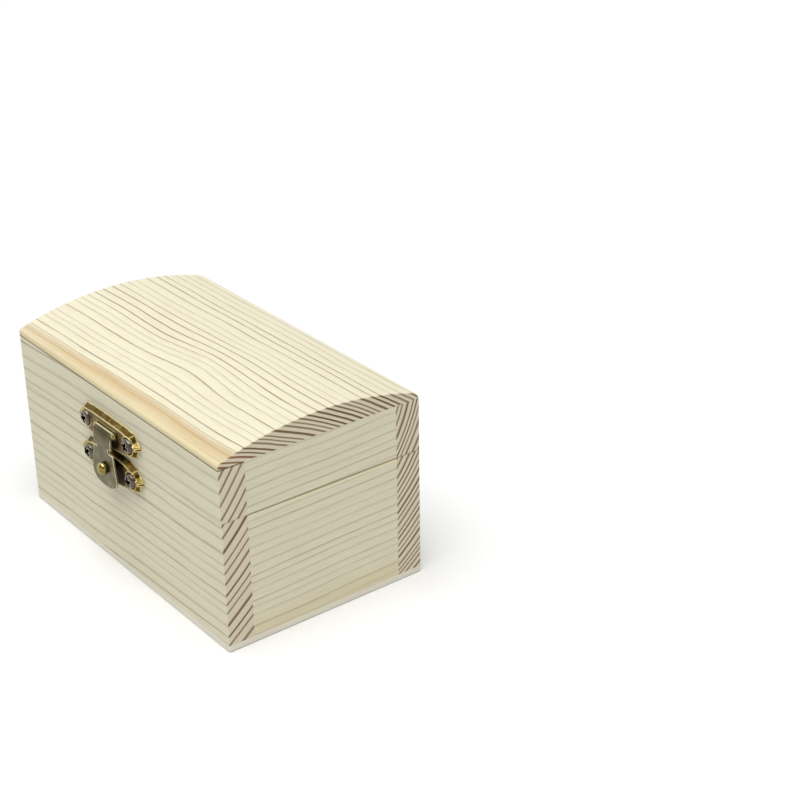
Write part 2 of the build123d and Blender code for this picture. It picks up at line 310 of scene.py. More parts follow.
def with_the_grain(board, length, width):
    """A scale for noise, with one number along the fibres and another across them."""
    return (length, width, width) if board.along == "X" else (width, length, width)


def find_place(wood, board):
    """Where a point lies in the chest and in the tree, in millimetres."""
    spot = wood.place()
    x, y, z = wood.split(spot)
    length, across = (x, y) if board.along == "X" else (y, x)
    here = wood.moved(spot, board.seed)
    slow = wood.noise(wood.stretched(here, with_the_grain(board, 0.03, 0.045)), detail=1.0)
    fine = wood.noise(wood.stretched(here, with_the_grain(board, 0.1, 0.3)))
    aside = across - board.middle[0]
    above = z - board.middle[1] - length * board.lean
    distance = (aside * aside + above * above).root()
    return SimpleNamespace(
        x=x, y=y, z=z, length=length, across=across, here=here, slow=slow, fine=fine,
        distance=distance,
    )


def growth_ring(wood, board, at):
    """How far a point lies through its ring, from 0 to 1, and a number for that ring's year."""
    rings = at.distance / board.ring
    rings = rings + at.slow * (2.2 * board.waver) + at.fine * (0.3 * board.waver)
    if board.swell:
        swollen = at.length.hill(-14.0, 8.0, 30.0) * at.across.hill(-22.0, -7.0, 8.0)
        rings = rings - swollen * board.swell
    inputs = {"W": rings * 0.4 + board.seed, "Scale": 1.0, "Detail": 0.0}
    pace = wood.node("ShaderNodeTexNoise", {"noise_dimensions": "1D"}, inputs)
    rings = rings + (pace - 0.5) * 0.7
    number = rings.whole()
    inputs = {"W": number + board.seed}
    year = wood.node("ShaderNodeTexWhiteNoise", {"noise_dimensions": "1D"}, inputs)
    return rings - number, year


print("an ordinary board:", ORDINARY_BOARD)

# %% [markdown]
# Each ring starts pale, darkens towards its late wood and ends sharply. Along the grain the late
# wood is only a thin line with a faint warm shade before it. On end grain it is a broad dark
# stripe. Fibres, streaks and pores are noise stretched along the board. They are mixed into the
# colour and also raise a bump of a few hundredths of a millimetre, which is too small to model and
# is felt only as a dull sheen.


# %% A board's finish
FIBRES = (0.3, 6.0)  # so many in a millimetre, along the fibres and across them
STREAKS = (0.07, 2.4)
PORES = (7.0, 7.0)
WOOD_DEPTH = 0.03 * MM


def pine(name, **board):
    """The finish of a board. middle is where the tree's middle lay in the board's cross-section,
    in millimetres, ring the mean width of a ring, and seed makes the noise the board's own."""
    wood = Finish(name)
    board = SimpleNamespace(**{**ORDINARY_BOARD, **board})
    at = find_place(wood, board)
    part, year = growth_ring(wood, board, at)
    strength = (year * year * 0.7 + 0.42) * (at.fine * 1.5 + 1.0) * board.lines
    line = part.ramp(1 - board.width, 1 - board.width * 0.3) * part.ramp(1.0, 0.965) * strength
    warm = part.ramp(0.4, 0.9) * part.ramp(1.0, 0.97) * board.lines
    stripe = part.ramp(board.late - 0.08, board.late + 0.12) * part.ramp(1.0, 0.94)
    at.late = stripe * (year * 0.3 + 0.7)

    at.end_grain = wood.attribute("end_grain").ramp(0.5, 0.9)

    def texture(counts, roughness):
        scale = with_the_grain(board, *counts)
        return wood.noise(wood.stretched(at.here, scale), detail=3.0, roughness=roughness)

    fibre, streak, pores = texture(FIBRES, 0.65), texture(STREAKS, 0.6), texture(PORES, 0.7)

    rings_along = line * 0.72 + warm * 0.05
    fibres_along = fibre * 0.36 + streak * 0.26 + at.slow * 0.08 + 0.04
    long_side = wood.blend(rings_along + fibres_along, EARLY_LONG, LATE_LONG)
    end_share = at.late * 0.96 + pores * 0.14 + at.slow * 0.08 + 0.02
    end_side = wood.blend(end_share, EARLY_END, LATE_END)
    shade = wood.blend(at.end_grain, long_side, end_side)
    for mark in board.marks:
        shade = mark(wood, at, shade)
    height = fibre * (1 - at.end_grain) * 0.6 + pores * at.end_grain
    return wood.surface(
        base_color=shade, roughness=0.62, specular_ior_level=0.3,
        normal=wood.bump(height, WOOD_DEPTH),
    )


print("a millimetre of end grain holds about", PORES[0], "pores")

# %% [markdown]
# Making the chest left marks on its boards. The saw scorched a thin brown line on both sides of its
# cut and left a fresh pale lip below it on the ends. Glue darkened the joint under the arched
# board. The end boards have yellowed near the floor. Two marks are painted light instead: the
# bottom panel's upright edges are painted paler, as if lit by the paper, and the faces that look
# into the chest get painted shade. Each mark is a small function that lays one colour over the wood
# where a distance says so, and each board lists the marks it has. That is easier to follow than one
# large material with a switch for every board.

# %% Marks of saw, glue and age, and painted light
SCORCHED = (0.26, 0.1)
LIP = (0.25, 0.5, 1.0)
SEAM = (-0.5, -0.15)


def upright(wood):
    """1 on faces that stand upright, 0 on faces that lie flat."""
    return wood.attribute("turned_up").ramp(0.8, 0.3)


def saw_line(strength, lip=0.0):
    def mark(wood, at, shade):
        below = SAW_CUT / MM - at.z
        standing = upright(wood)
        scorched = below.size().ramp(*SCORCHED) * (at.slow * 1.5 + 1.0) * standing
        shade = wood.blend(scorched * strength, shade, SAWN)
        if lip:
            fresh = below.hill(*LIP) * (at.y.ramp(-24.0, 0.0) * 0.6 + 0.4) * standing
            shade = wood.blend(fresh * lip, shade, FRESH)
        return shade

    return mark


def glue_seam(wood, at, shade):
    return wood.blend((at.z - GLUE_LINE / MM).ramp(*SEAM) * 0.9, shade, GLUE)


def yellow_foot(wood, at, shade):
    return wood.blend((at.z + at.slow * 3.0).ramp(7.5, 4.0) * 0.24, shade, YELLOWED)


# Painted light: the panel's upright edges are painted paler, as if lit by the paper.
def painted_lit_edge(wood, at, shade):
    return wood.blend(upright(wood) * 0.8, shade, LIT_EDGE)


def shaded_inside(height, strength):
    """Paints shade on the flat face at a height, which looks into the chest."""

    def mark(wood, at, shade):
        flat = wood.attribute("turned_up").ramp(0.9, 0.99)
        near = (at.z - height / MM).size().ramp(0.3, 0.1)
        return wood.blend(flat * near * strength, shade, INSIDE_SHADE)

    return mark


print("scorched within", SCORCHED[0], "mm of the saw cut")

# %% [markdown]
# The arched board has one mark more. Its first ring, nearest the tree's middle, is red-brown, and
# where it comes out on the top behind the front eave it is a soft tan streak with a darker core.
# The streak follows the ring, so it is a distance from the tree's middle and not a stripe at a
# fixed place, and it meets the red-brown rings on the end grain. Wood in front of it is creamy.

# %% The tan streak
FIRST_RING = 110.2


def fine_grain(wood, at):
    """Faint streaks along the chest, about 0."""
    streaks = wood.node("ShaderNodeCombineXYZ", {}, {0: at.x * 0.04, 1: at.y * 2.2})
    return wood.noise(streaks, detail=3.0) * 0.7


def tan_streak(wood, at, shade):
    beyond = at.distance + at.slow * 1.6 - FIRST_RING
    on_top = 1 - at.end_grain
    grain = fine_grain(wood, at)
    shade = wood.blend(beyond.ramp(-0.8, -1.4) * on_top, shade, SAPWOOD)
    streak = beyond.hill(-2.1, 0.0, 1.5) * (at.x.ramp(-60.0, 0.0) * 0.5 + 0.5) * on_top
    shade = wood.blend(streak * (grain + 0.68), shade, TAN)
    core = beyond.hill(-0.1, 0.6, 1.0) * (grain + 0.5) * on_top
    shade = wood.blend(core * 0.34, shade, RED_BROWN)
    return wood.blend(at.late * at.end_grain * beyond.ramp(1.2, 0.4) * 0.8, shade, RED_BROWN)


print("the streak's middle lies", FIRST_RING, "mm from the tree's middle")

# %% [markdown]
# Every piece ends the same way: doubled points are merged, faces are turned outwards, edges that
# bend little are shaded smooth, and the mesh becomes an object that rides on its body and stands
# for the measured solid of its name. Two notes are written on each face for the finishes:
# `end_grain`, how squarely the face cuts the fibres, and `turned_up`, how flat it lies. A large
# flat face next to a small rounding would be shaded as if it bent, so weighted normals let the
# large face win.

# %% Making a piece
BOARD_SMOOTH = 35.0
METAL_SMOOTH = 40.0


def note_directions(bm, grain):
    if grain:
        end_grain = bm.faces.layers.float.new("end_grain")
        for face in bm.faces:
            face[end_grain] = abs(face.normal["XY".index(grain)])
    turned_up = bm.faces.layers.float.new("turned_up")
    for face in bm.faces:
        face[turned_up] = abs(face.normal.z)


def make_piece(name, bm, body, material, grain=None, smooth=METAL_SMOOTH):
    bmesh.ops.remove_doubles(bm, verts=bm.verts, dist=HAIR / 100)
    bmesh.ops.recalc_face_normals(bm, faces=bm.faces)
    for edge in bm.edges:
        edge.smooth = len(edge.link_faces) == 2 and edge.calc_face_angle() < radians(smooth)
    note_directions(bm, grain)
    for face in bm.faces:
        face.smooth = True
    mesh = bpy.data.meshes.new(name)
    bm.to_mesh(mesh)
    bm.free()
    piece = bpy.data.objects.new(name, mesh)
    bpy.context.scene.collection.objects.link(piece)
    piece.data.materials.append(material)
    weighted = piece.modifiers.new("weighted_normals", "WEIGHTED_NORMAL")
    weighted.keep_sharp = True
    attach(piece, body)
    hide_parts(name)
    print(name, "has", len(mesh.polygons), "faces")


def ease(bm, edges, radius, segments):
    """Rounds edges with a real bevel."""
    bmesh.ops.bevel(
        bm, geom=edges, offset=radius, offset_type="OFFSET", segments=segments,
        profile=0.5, affect="EDGES", material=-1, clamp_overlap=True,
    )


print("smooth up to", BOARD_SMOOTH, "degrees on boards,", METAL_SMOOTH, "on metal")

# %% [markdown]
# The walls. Each is a flat board, and the boards of a layer meet flush, because the whole block was
# glued up, sanded and only then sawn in two. A cube fitted to the measured box is the right start.
# Then its outer edges are eased: the upright corners by a sander, the rims at the cut by a stroke
# of paper. These are real bevels, because light catches an edge, and a bump map can't change an
# outline. Edges inside the chest stay as they left the saw.


# %% A wall
UPRIGHT_RADIUS = 0.35 * MM
SAWN_RADIUS = 0.09 * MM


def is_upright_corner(edge):
    ends = [vertex.co for vertex in edge.verts]
    outermost = all(
        abs(abs(end.x) - RIGHT) < HAIR and abs(abs(end.y) - BACK) < HAIR for end in ends
    )
    return outermost and abs(ends[0].z - ends[1].z) > HAIR


def is_outer_rim(edge, height):
    """Whether an edge lies at a height on the outside of the chest, and not across a joint."""
    a, b = (vertex.co for vertex in edge.verts)
    if abs(a.z - height) > HAIR or abs(b.z - height) > HAIR:
        return False
    middle = (a + b) / 2
    on_end = abs(abs(middle.x) - RIGHT) < UPRIGHT_RADIUS
    on_long_side = abs(abs(middle.y) - BACK) < UPRIGHT_RADIUS
    return on_end or on_long_side


def make_wall(node, body, material, grain="X", eased_height=SAW_CUT, eased_radius=SAWN_RADIUS):
    low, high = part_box(node)
    bm = bmesh.new()
    place = Matrix.Translation((low + high) / 2) @ Matrix.Diagonal((*(high - low), 1.0))
    bmesh.ops.create_cube(bm, size=1.0, matrix=place)
    corners = [edge for edge in bm.edges if is_upright_corner(edge)]
    ease(bm, corners, UPRIGHT_RADIUS, segments=4)
    rims = [edge for edge in bm.edges if is_outer_rim(edge, eased_height)]
    ease(bm, rims, eased_radius, segments=2)
    make_piece(node, bm, body, material, grain, BOARD_SMOOTH)


print("upright corners are rounded by", round(UPRIGHT_RADIUS / MM, 2), "mm")


# %% [markdown]
# The body's boards. A board's numbers say where the tree's middle lay, as read from the slope and
# the spacing of the stripes on its end: steep stripes mean a middle far to one side, and lines that
# run level mean one far below. The end boards have their fibres along Y, so their lines meet the
# front board's stripes at the corner. The bottom is a thin pale panel.

# %% The body's boards
FRONT_SAWN_RADIUS = 0.06 * MM
PANEL_RADIUS = 0.2 * MM
FRONT_MIDDLE, BACK_MIDDLE, END_MIDDLE = (-97.0, 93.0), (-23.0, 62.0), (-20.0, -150.0)
front_wood = {
    "ring": 2.05, "lean": 0.035, "seed": 3.0, "waver": 0.22, "lines": 0.58, "width": 0.32,
    "late": 0.7, "marks": (saw_line(0.22), glue_seam),
}
back_wood = {"ring": 1.3, "lean": 0.02, "seed": 11.0, "late": 0.57, "marks": (saw_line(0.6),)}
end_wood = {
    "ring": 2.1, "lean": 0.03, "along": "Y", "seed": 23.0, "lines": 0.5, "width": 0.28,
    "marks": (saw_line(0.85, lip=1.0), yellow_foot),
}
bottom_wood = {
    "middle": (10.0, 60.0), "ring": 2.5, "seed": 51.0, "lines": 0.5, "late": 1.2,
    "marks": (painted_lit_edge, shaded_inside(PANEL_TOP, 0.75)),
}
body_end_finish = pine("pine_body_ends", middle=END_MIDDLE, **end_wood)
body_front_finish = pine("pine_body_front", middle=FRONT_MIDDLE, **front_wood)
body_back_finish = pine("pine_body_back", middle=BACK_MIDDLE, **back_wood)
make_wall("body_front_board", "box_body", body_front_finish, eased_radius=FRONT_SAWN_RADIUS)
make_wall("body_back_board", "box_body", body_back_finish)
make_wall("body_left_end_board", "box_body", body_end_finish, "Y")
make_wall("body_right_end_board", "box_body", body_end_finish, "Y")
make_wall("bottom_panel", "box_body", pine("pine_bottom", **bottom_wood), "X", 0.0, PANEL_RADIUS)

# %% [markdown]
# The lid's walls are the same boards above the cut. The saw turned a little wood into dust, and the
# lid came down by the width of the saw. So its rings are moved down by the same step, and they miss
# the body's by a little, as they do on the real chest.


# %% The lid's walls
KERF = 1.2


def after_the_saw(middle):
    return (middle[0], middle[1] - KERF)


lid_end_finish = pine("pine_lid_ends", middle=after_the_saw(END_MIDDLE), **end_wood)
lid_front_finish = pine("pine_lid_front", middle=after_the_saw(FRONT_MIDDLE), **front_wood)
make_wall("lid_front_board", "lid", lid_front_finish, eased_radius=FRONT_SAWN_RADIUS)
make_wall("lid_left_end_board", "lid", lid_end_finish, "Y")
make_wall("lid_right_end_board", "lid", lid_end_finish, "Y")

# %% [markdown]
# The arched board on top was glued on thick and planed to a shallow arch, and its eaves were
# rounded afterwards, the back one so far that the round runs down into the board below. So we make
# the rounded block once and slice it. Its end is a chain of points: one point is spun about the
# front eave's centre, then about the arch's far-off centre, then about the back eave's. Pulling the
# closed outline along the chest makes the block. Subdividing and bending a box would also give an
# arch, but not one that meets its eaves exactly.

# %% The arched block
FRONT_EAVE = 0.9 * MM
BACK_EAVE = 2.6 * MM
SPRING = GLUE_LINE + 1.2 * MM
RISE = CROWN - SPRING
ARCH_RADIUS = (BACK * BACK + RISE * RISE) / (2 * RISE)
ARCH_CENTRE = Vector((-RIGHT, 0.0, CROWN - ARCH_RADIUS))


def eave_centre(y, radius):
    drop = sqrt((ARCH_RADIUS - radius) ** 2 - y * y)
    return Vector((-RIGHT, y, ARCH_CENTRE.z + drop))


def carry_on(bm, start, centre, angle, steps):
    """Spins a point about a centre and gives the last point of the chain."""
    swept = bmesh.ops.spin(
        bm, geom=[start], cent=centre, axis=(1, 0, 0), dvec=(0, 0, 0),
        angle=-angle, steps=steps, use_merge=False, use_duplicate=False,
    )
    return next(item for item in swept["geom_last"] if isinstance(item, bmesh.types.BMVert))


def arched_outline(bm):
    front = eave_centre(-BACK + FRONT_EAVE, FRONT_EAVE)
    back = eave_centre(BACK - BACK_EAVE, BACK_EAVE)
    front_lean = asin((BACK - FRONT_EAVE) / (ARCH_RADIUS - FRONT_EAVE))
    back_lean = asin((BACK - BACK_EAVE) / (ARCH_RADIUS - BACK_EAVE))
    front_foot = bm.verts.new((-RIGHT, -BACK, SAW_CUT))
    point = bm.verts.new((-RIGHT, -BACK, front.z))
    bm.edges.new((front_foot, point))
    point = carry_on(bm, point, front, pi / 2 - front_lean, steps=6)
    point = carry_on(bm, point, ARCH_CENTRE, front_lean + back_lean, steps=44)
    point = carry_on(bm, point, back, pi / 2 - back_lean, steps=10)
    back_foot = bm.verts.new((-RIGHT, BACK, SAW_CUT))
    bm.edges.new((point, back_foot))
    bm.edges.new((back_foot, front_foot))


def arched_block():
    bm = bmesh.new()
    arched_outline(bm)
    end_face = bmesh.ops.contextual_create(bm, geom=bm.edges[:])["faces"]
    pulled = bmesh.ops.extrude_face_region(bm, geom=end_face)["geom"]
    far_end = [item for item in pulled if isinstance(item, bmesh.types.BMVert)]
    bmesh.ops.translate(bm, verts=far_end, vec=(2 * RIGHT, 0, 0))
    bmesh.ops.recalc_face_normals(bm, faces=bm.faces)
    return bm


print("the arch has a radius of", round(ARCH_RADIUS / MM, 1), "mm")

# %% [markdown]
# A cutting plane parts one board from another. `bisect_plane` removes what lies beyond it, and the
# open edges it leaves are closed with one face. Two cuts out of the same block give two boards that
# fit each other perfectly, also along the round that they share at the back. Only the outline of
# the ends is eased afterwards, not the glued joint.


# %% The boards sliced from it
TOP_END_RADIUS = 0.25 * MM
LEAST_CORNER = radians(60)


def cut_away(bm, point, direction):
    bmesh.ops.bisect_plane(
        bm, geom=bm.verts[:] + bm.edges[:] + bm.faces[:], dist=HAIR / 100,
        plane_co=point, plane_no=direction, clear_outer=True,
    )
    bmesh.ops.contextual_create(bm, geom=[edge for edge in bm.edges if edge.is_boundary])


def is_end_outline(edge):
    """Whether an edge runs round an end of the chest, on its outside."""
    a, b = (vertex.co for vertex in edge.verts)
    if abs(a.x - b.x) > HAIR or abs(abs(a.x) - RIGHT) > HAIR:
        return False
    if edge.calc_face_angle() < LEAST_CORNER:
        return False
    middle = (a + b) / 2
    in_a_joint = min(abs(middle.z - GLUE_LINE), abs(middle.z - SAW_CUT)) < HAIR
    on_the_back = abs(middle.y) > BACK - BOARD / 2
    return middle.z > GLUE_LINE + HAIR or (on_the_back and not in_a_joint)


top_wood = {
    "middle": (-55.3, -58.0), "ring": 1.06, "lean": 0.01, "seed": 37.0, "waver": 0.42,
    "lines": 1.15, "late": 0.56, "swell": 0.8,
    "marks": (tan_streak, shaded_inside(GLUE_LINE, 0.4)),
}
bm = arched_block()
cut_away(bm, (0, 0, GLUE_LINE), (0, 0, -1))
outline = [edge for edge in bm.edges if is_end_outline(edge)]
ease(bm, outline, TOP_END_RADIUS, segments=3)
top_finish = pine("pine_lid_top", **top_wood)
make_piece("lid_top_board", bm, "lid", top_finish, "X", BOARD_SMOOTH)

bm = arched_block()
cut_away(bm, (0, 0, GLUE_LINE), (0, 0, 1))
cut_away(bm, (0, BACK - BOARD, 0), (0, -1, 0))
outline = [edge for edge in bm.edges if is_end_outline(edge)]
ease(bm, outline, UPRIGHT_RADIUS, segments=4)
rims = [edge for edge in bm.edges if is_outer_rim(edge, SAW_CUT)]
ease(bm, rims, SAWN_RADIUS, segments=2)
lid_back_finish = pine("pine_lid_back", middle=after_the_saw(BACK_MIDDLE), **back_wood)
make_piece("lid_back_board", bm, "lid", lid_back_finish, "X", BOARD_SMOOTH)

# %% [markdown]
# The metal. The clasp is pressed from thin sheet and tumbled in a dark antique bronze, then worn
# bright again along every edge, while dark stays in the hollows. The bright rims are partly that
# wear and partly a painted highlight, and the dark in the hollows is partly patina and partly
# painted shade, such as the ring of shadow round each screw head. We could paint rims and hollows
# by hand, but the finish can find both from the shape itself: a normal that a small radius would
# round differs from the straight one near an edge, and a point that sees little of its surroundings
# lies in a hollow. Worn rims are made less of a mirror, so they shine from every side, as brushed
# brass does; that shine is partly painted highlight. Faces that look up get a painted highlight as
# well.

# %% Antique bronze
# The first colour darkens the hollows, partly patina and partly painted shade; the second is
# painted shade under the tongue's knuckle; the third is painted shade in a screw's cross.
GRIME_AND_SHADE = paint(20, 14, 8)
CREASE_SHADE = paint(56, 46, 14)
RECESS_SHADE = paint(16, 12, 8)
HOLLOW_REACH = 1.1 * MM
METAL_DEPTH = 0.02 * MM


def bronze(
    name, dark, bright, seed, polish=0.0, roughness=0.3,
    top=0.1, top_from=0.3, wear=0.45, shade_band=None,
):
    """polish is how far the flat parts are worn bright, top how much painted highlight the faces
    that look up get, wear the width of the bright rims in millimetres, and shade_band a height
    where a band of painted shade lies."""
    metal = Finish(name)
    spot = metal.place()
    here = metal.moved(spot, seed)
    cloud = metal.noise(metal.stretched(here, (0.55, 0.55, 0.55)), detail=3.0, roughness=0.6)
    speck = metal.noise(metal.stretched(here, (5.0, 5.0, 5.0)), roughness=0.6)
    straight = metal.node("ShaderNodeNewGeometry", {}, {}, "Normal")
    rounded = metal.node("ShaderNodeBevel", {"samples": 8}, {"Radius": wear * MM})
    agree = metal.vector_math("DOT_PRODUCT", straight, rounded, "Value")
    inputs = {"Distance": HOLLOW_REACH}
    open_sky = metal.node("ShaderNodeAmbientOcclusion", {"samples": 8}, inputs, "AO")
    # Bright rims: partly real wear, partly a painted highlight.
    worn_and_highlit_rim = (1 - agree).ramp(0.004, 0.05) * open_sky.ramp(0.35, 0.7)
    # Painted highlight on faces that look up, as if lit from above.
    painted_top_highlight = metal.attribute("turned_up").ramp(top_from, 0.98) * top
    wear_and_highlight = (worn_and_highlit_rim * 1.3 + painted_top_highlight + cloud * 0.9 + speck * 0.35 + polish).ramp(0.0, 1.0)
    hollow = open_sky.ramp(0.85, 0.3)
    shade = metal.blend(wear_and_highlight, dark, bright)
    # Dark hollows: partly patina, partly painted shade such as the ring round a screw head.
    shade = metal.blend(hollow * 0.9, shade, GRIME_AND_SHADE)
    # Painted shade: a dark band under the tongue's knuckle, where the sheet leaves its roll.
    if shade_band:
        in_shade_band = metal.split(spot)[2].hill(shade_band - 1.2, shade_band, shade_band + 0.9)
        shade = metal.blend(in_shade_band * 0.85, shade, CREASE_SHADE)
    # Painted shade: the cross in a screw head is painted near black.
    shade = metal.blend(metal.attribute("painted_shade_recess"), shade, RECESS_SHADE)
    return metal.surface(
        base_color=shade, metallic=1.0 - worn_and_highlit_rim * 0.6 - painted_top_highlight * 0.5,
        roughness=roughness + hollow * 0.35 + speck * 0.12,
        normal=metal.bump(speck + cloud, METAL_DEPTH),
    )


print("dark stays where something else is within", round(HOLLOW_REACH / MM, 2), "mm")

# %% [markdown]
# Four metals from one recipe. The sheet of the plates and hinges is the darkest. The tongue is
# worn by fingers, so it is greyer, and its knuckle gets a painted highlight along its top over a
# band of painted shade where the sheet leaves its roll. The pins and the knob are worn brass. The
# screws are a dull bronze, where `wear` stays small because their crosses are narrow. One function
# with a few numbers keeps the four related, where four separate materials would drift apart.

# %% The four metals
low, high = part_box("clasp_tongue_pin")
knuckle_shade_band = (low.z + high.z) / 2 / MM - 0.2
bronze_finish = bronze(
    "sheet_bronze", paint(90, 69, 18), paint(255, 234, 156), seed=0.0, polish=0.04,
)
tongue_finish = bronze(
    "tongue_bronze", paint(86, 78, 46), paint(250, 240, 190), seed=7.0, polish=0.05,
    roughness=0.2, top=0.9, top_from=0.85, wear=0.3, shade_band=knuckle_shade_band,
)
brass_finish = bronze(
    "worn_brass", paint(132, 108, 40), paint(255, 240, 168), seed=13.0, polish=0.2,
    roughness=0.17,
)
screw_finish = bronze(
    "screw_bronze", paint(92, 82, 72), paint(224, 214, 196), seed=19.0, polish=0.12, wear=0.25,
)

# %% [markdown]
# The measured solids already have the clasp's outlines, windows and seats, so there is no reason to
# model them again. We take a copy of each, merge its loose triangles, join the flat ones into whole
# faces and round the sharp edges with a bevel, as tumbling does. The solid itself isn't touched.


# %% Refining a measured solid
SOFTENING = 0.09 * MM
FLAT, SHARP = 0.5, 24.0


def refine(node, body, material):
    bm = bmesh.new()
    bm.from_mesh(solids[node].data)
    bmesh.ops.remove_doubles(bm, verts=bm.verts, dist=HAIR / 50)
    bmesh.ops.dissolve_limit(
        bm, angle_limit=radians(FLAT), use_dissolve_boundaries=False,
        verts=bm.verts, edges=bm.edges, delimit=set(),
    )
    sharp = [edge for edge in bm.edges if edge.calc_face_angle(0.0) > radians(SHARP)]
    ease(bm, sharp, SOFTENING, segments=2)
    make_piece(node, bm, body, material)


print("edges that bend more than", SHARP, "degrees are rounded")

# %% [markdown]
# The clasp. Two pressed plates with walls that flare out to the wood: the upper one on the lid
# holds the tongue's pin, and the lower one on the body has the bead that the tongue catches on.
# The tongue rides on a body of its own, because it swings, and its knob is made further down.

# %% The clasp
refine("clasp_upper_plate", "lid", bronze_finish)
refine("clasp_lower_plate", "box_body", bronze_finish)
refine("clasp_tongue", "tongue", tongue_finish)
refine("clasp_tongue_pin", "lid", brass_finish)

# %% [markdown]
# The hinges. Two small butt hinges of rolled sheet sit on the back. One leaf and the pin stay with
# the body, and the other leaf goes with the lid. Their rolled knuckles are in the measured solids
# too, so they are refined like the clasp, and one loop makes both because they are alike.

# %% The hinges
for side in ("left", "right"):
    refine(f"{side}_hinge_body_leaf", "box_body", bronze_finish)
    refine(f"{side}_hinge_lid_leaf", "lid", bronze_finish)
    refine(f"{side}_hinge_pin", "box_body", brass_finish)

# %% [markdown]
# Turned pieces. A screw's head and shank and the clasp's knob are all round, so each is a profile
# spun round its axis. The profile is a few points of radius and height in millimetres, as a turner
# would note them. It starts and ends on the axis, which closes the solid once doubles are merged.
#
# The knob is a low dome on a neck, with a rivet behind it that holds it to the tongue. It is spun
# upright and then tipped forward, onto the place where the measured knob sits.

# %% The knob
KNOB_HEIGHT = 1.6


def spun(outline, steps):
    bm = bmesh.new()
    chain = [bm.verts.new((radius * MM, 0, height * MM)) for radius, height in outline]
    for upper, lower in zip(chain, chain[1:]):
        bm.edges.new((upper, lower))
    bmesh.ops.spin(
        bm, geom=bm.verts[:] + bm.edges[:], cent=(0, 0, 0), axis=(0, 0, 1), dvec=(0, 0, 0),
        angle=2 * pi, steps=steps, use_merge=True, use_duplicate=False,
    )
    bmesh.ops.remove_doubles(bm, verts=bm.verts, dist=HAIR / 10)
    bmesh.ops.recalc_face_normals(bm, faces=bm.faces)
    return bm


low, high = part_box("clasp_knob")
rivet_end = KNOB_HEIGHT - (high.y - low.y) / MM
knob_dome = [
    (0, KNOB_HEIGHT), (0.35, 1.575), (0.7, 1.49), (1.0, 1.36), (1.26, 1.16), (1.44, 0.92),
    (1.54, 0.68), (1.54, 0.54), (1.42, 0.42),
]
knob_neck = [(1.2, 0.34), (1.2, 0), (0.55, 0), (0.55, rivet_end), (0, rivet_end)]
bm = spun(knob_dome + knob_neck, steps=40)
seat = Vector(((low.x + high.x) / 2, low.y + KNOB_HEIGHT * MM, (low.z + high.z) / 2))
tipped = Matrix.Translation(seat) @ Matrix.Rotation(pi / 2, 4, "X")
bmesh.ops.transform(bm, verts=bm.verts, matrix=tipped)
make_piece("clasp_knob", bm, "tongue", brass_finish)

# %% [markdown]
# The cross in a screw's head is cut as a punch would make it: cutting planes draw its outline on
# the head, and the faces inside are pressed down and drawn together. A boolean with a cross-shaped
# tool would do too, but it leaves a ragged mesh on a dome. The walls and the floor of the cross
# note that they are `painted_shade_recess`, and the finish paints them near black: painted shade
# for the shadow that fills the narrow cross.


# %% The cross in a head
CROSS_DRAFT = 0.62


def draw_cross(bm, lowest, half_width, half_length):
    """Cuts the faces of a head along the cross's outline. The head lies above lowest."""
    for direction in (Vector((1, 0, 0)), Vector((0, 1, 0))):
        for step in (half_width, -half_width, half_length, -half_length):
            head = [face for face in bm.faces if face.calc_center_median().z > lowest * MM]
            around = {item for face in head for item in (*face.verts, *face.edges)}
            bmesh.ops.bisect_plane(
                bm, geom=[*head, *around], dist=HAIR / 100,
                plane_co=direction * step * MM, plane_no=direction,
            )


def press_cross(bm, lowest, half_width, half_length, depth):
    painted_shade_recess = bm.faces.layers.float.new("painted_shade_recess")
    draw_cross(bm, lowest, half_width, half_length)
    inside = []
    for face in bm.faces:
        middle = face.calc_center_median() / MM
        near, far = sorted((abs(middle.x), abs(middle.y)))
        if middle.z > lowest and near < half_width and far < half_length:
            inside.append(face)
    pressed = bmesh.ops.extrude_face_region(bm, geom=inside)["geom"]
    floor_points = [item for item in pressed if isinstance(item, bmesh.types.BMVert)]
    bmesh.ops.translate(bm, verts=floor_points, vec=(0, 0, -depth * MM))
    bmesh.ops.scale(bm, verts=floor_points, vec=(CROSS_DRAFT, CROSS_DRAFT, 1.0))
    bmesh.ops.delete(bm, geom=[face for face in inside if face.is_valid], context="FACES_ONLY")
    for point in floor_points:
        for face in point.link_faces:
            face[painted_shade_recess] = 1.0


print("at its floor a cross has", CROSS_DRAFT, "of its width")

# %% [markdown]
# The two kinds of screw. The clasp's have a raised head that stands on the plate, and the hinges'
# have a flat one sunk into the leaf. The thread is a small ridge spun round the core while it moves
# along, and the core ends in a point. The threads are hidden in the wood, but the lid can be taken
# off, and then they matter.

# %% Two kinds of screw
RAISED_RADIUS, RAISED_HEIGHT = 1.9, 1.25
FLAT_RADIUS = 1.3
TURN_STEPS = 14


def cut_thread(bm, core, painted_top_highlight, start, end, pitch):
    section = [(core, start), (painted_top_highlight, start - pitch / 4), (core, start - pitch / 2)]
    ridge = [bm.verts.new((radius * MM, 0, height * MM)) for radius, height in section]
    edges = [bm.edges.new(pair) for pair in zip(ridge, ridge[1:])]
    turns = (start - end) / pitch
    bmesh.ops.spin(
        bm, geom=ridge + edges, cent=(0, 0, 0), axis=(0, 0, 1),
        dvec=(0, 0, -pitch * MM / TURN_STEPS), angle=2 * pi * turns,
        steps=round(turns * TURN_STEPS), use_merge=False, use_duplicate=False,
    )


